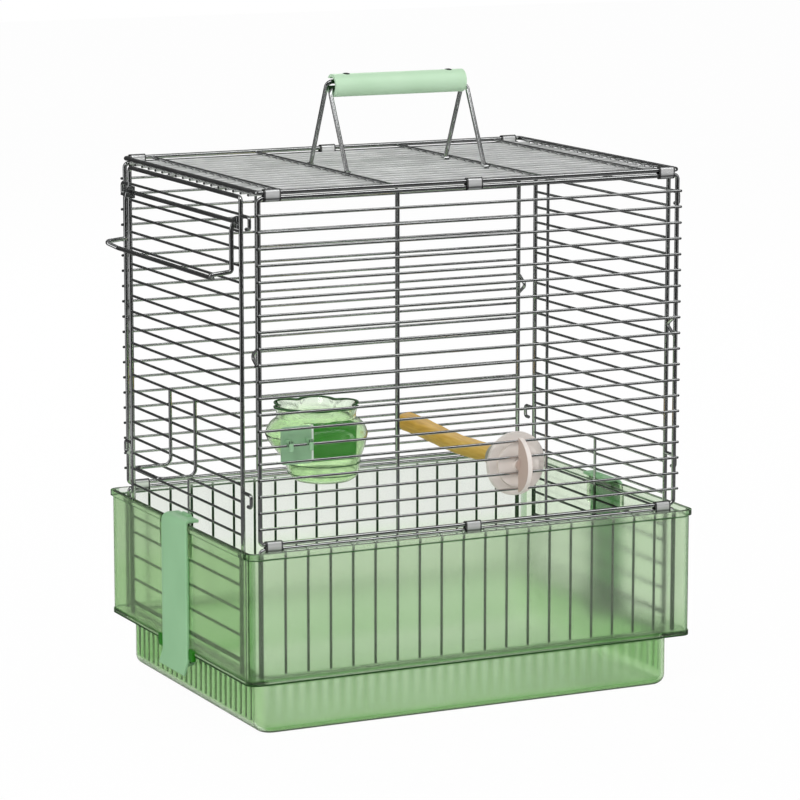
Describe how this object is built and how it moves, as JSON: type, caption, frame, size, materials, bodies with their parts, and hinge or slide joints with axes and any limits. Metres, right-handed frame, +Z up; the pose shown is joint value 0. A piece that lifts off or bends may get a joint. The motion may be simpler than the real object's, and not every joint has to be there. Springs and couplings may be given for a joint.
{
  "type": "folding bird travel cage",
  "caption": "Folding wire bird cage with hinged front, top and back on a clear green surround and a clip-on tray, with a carrying handle, perch and feeder cup.",
  "frame": {"origin": "centre of the lower tray's flat underside, where the cage stands", "axes": "+X right along the front, +Y from the front to the back, +Z up"},
  "size_m": [0.3573, 0.2537, 0.4205],
  "materials": {
    "steel_wire": "bright plated wire",
    "sleeve_steel": "bright rolled sheet",
    "pin_steel": "plain pin",
    "surround_plastic": "clear tinted, polished",
    "tray_plastic": "clear tinted, fluted",
    "clip_plastic": "moulded satin",
    "grip_plastic": "moulded satin",
    "stud_plastic": "dark polished",
    "perch_wood": "bare round dowel",
    "perch_plastic": "moulded satin",
    "cup_plastic": "clear tinted, polished",
    "hanger_plastic": "moulded satin"
  },
  "bodies": {
    "base": {"lower_tray": "tray_plastic", "upper_surround": "surround_plastic", "clip_pins": "pin_steel", "front_skirt_frame": "steel_wire", "front_skirt_wires": "steel_wire", "front_bottom_sleeves": "sleeve_steel", "back_skirt_frame": "steel_wire", "back_skirt_wires": "steel_wire", "back_bottom_sleeves": "sleeve_steel", "left_side_frame": "steel_wire", "left_side_bars": "steel_wire", "left_side_stiffener": "steel_wire", "left_side_hooks": "steel_wire", "left_bracket": "steel_wire", "bail_rod": "steel_wire", "right_side_frame": "steel_wire", "right_side_bars": "steel_wire", "right_side_stiffener": "steel_wire", "right_side_hooks": "steel_wire"},
    "front_panel": {"front_panel_frame": "steel_wire", "front_panel_bars": "steel_wire", "front_panel_stiffeners": "steel_wire", "front_panel_noses": "steel_wire", "feeder_cup": "cup_plastic", "feeder_hanger": "hanger_plastic"},
    "top_panel": {"top_panel_frame": "steel_wire", "top_panel_wires": "steel_wire", "top_cross_bars": "steel_wire", "front_top_sleeves": "sleeve_steel", "back_top_sleeves": "sleeve_steel"},
    "back_panel": {"back_panel_frame": "steel_wire", "back_panel_bars": "steel_wire", "back_panel_stiffeners": "steel_wire", "back_panel_noses": "steel_wire"},
    "handle_front": {"handle_front_bail": "steel_wire", "handle_grip": "grip_plastic", "grip_studs": "stud_plastic"},
    "handle_rear": {"handle_rear_bail": "steel_wire"},
    "lock_bail": {"lock_bail": "steel_wire"},
    "left_clip": {"left_clip": "clip_plastic"},
    "right_clip": {"right_clip": "clip_plastic"},
    "perch": {"perch_dowel": "perch_wood", "perch_holder": "perch_plastic", "perch_key": "perch_plastic"}
  },
  "joints": [
    {"name": "cage_fold", "type": "hinge", "parent": "base", "child": "front_panel", "pos_m": [0, -0.1135, 0.1275], "axis": [-1, 0, 0], "range_deg": [0, 45]},
    {"name": "top_level", "type": "hinge", "parent": "front_panel", "child": "top_panel", "pos_m": [0, -0.1135, 0.3524], "axis": [-1, 0, 0], "range_deg": [-45, 0]},
    {"name": "back_fold", "type": "hinge", "parent": "top_panel", "child": "back_panel", "pos_m": [0, 0.1135, 0.3524], "axis": [-1, 0, 0], "range_deg": [0, 45]},
    {"name": "handle_fold", "type": "hinge", "parent": "top_panel", "child": "handle_front", "pos_m": [0, -0.02987, 0.3536], "axis": [1, 0, 0], "range_deg": [0, 100]},
    {"name": "handle_rear_fold", "type": "hinge", "parent": "top_panel", "child": "handle_rear", "pos_m": [0, 0.02987, 0.3536], "axis": [1, 0, 0], "range_deg": [-100, 0]},
    {"name": "bail_swing", "type": "hinge", "parent": "base", "child": "lock_bail", "pos_m": [-0.1576, 0, 0.33503], "axis": [0, 1, 0], "range_deg": [0, 75]},
    {"name": "left_clip_swing", "type": "hinge", "parent": "base", "child": "left_clip", "pos_m": [-0.1602, 0, 0.029], "axis": [0, -1, 0], "range_deg": [0, 55]},
    {"name": "right_clip_swing", "type": "hinge", "parent": "base", "child": "right_clip", "pos_m": [0.1602, 0, 0.029], "axis": [0, 1, 0], "range_deg": [0, 55]},
    {"name": "perch_turn", "type": "hinge", "parent": "front_panel", "child": "perch", "pos_m": [0.034, -0.1, 0.16498], "axis": [0, 1, 0], "range_deg": [0, 90]}
  ],
  "couplings": [
    {"joint": "top_level", "follows": "cage_fold", "ratio": -1},
    {"joint": "back_fold", "follows": "cage_fold", "ratio": 1},
    {"joint": "handle_rear_fold", "follows": "handle_fold", "ratio": -1}
  ]
}
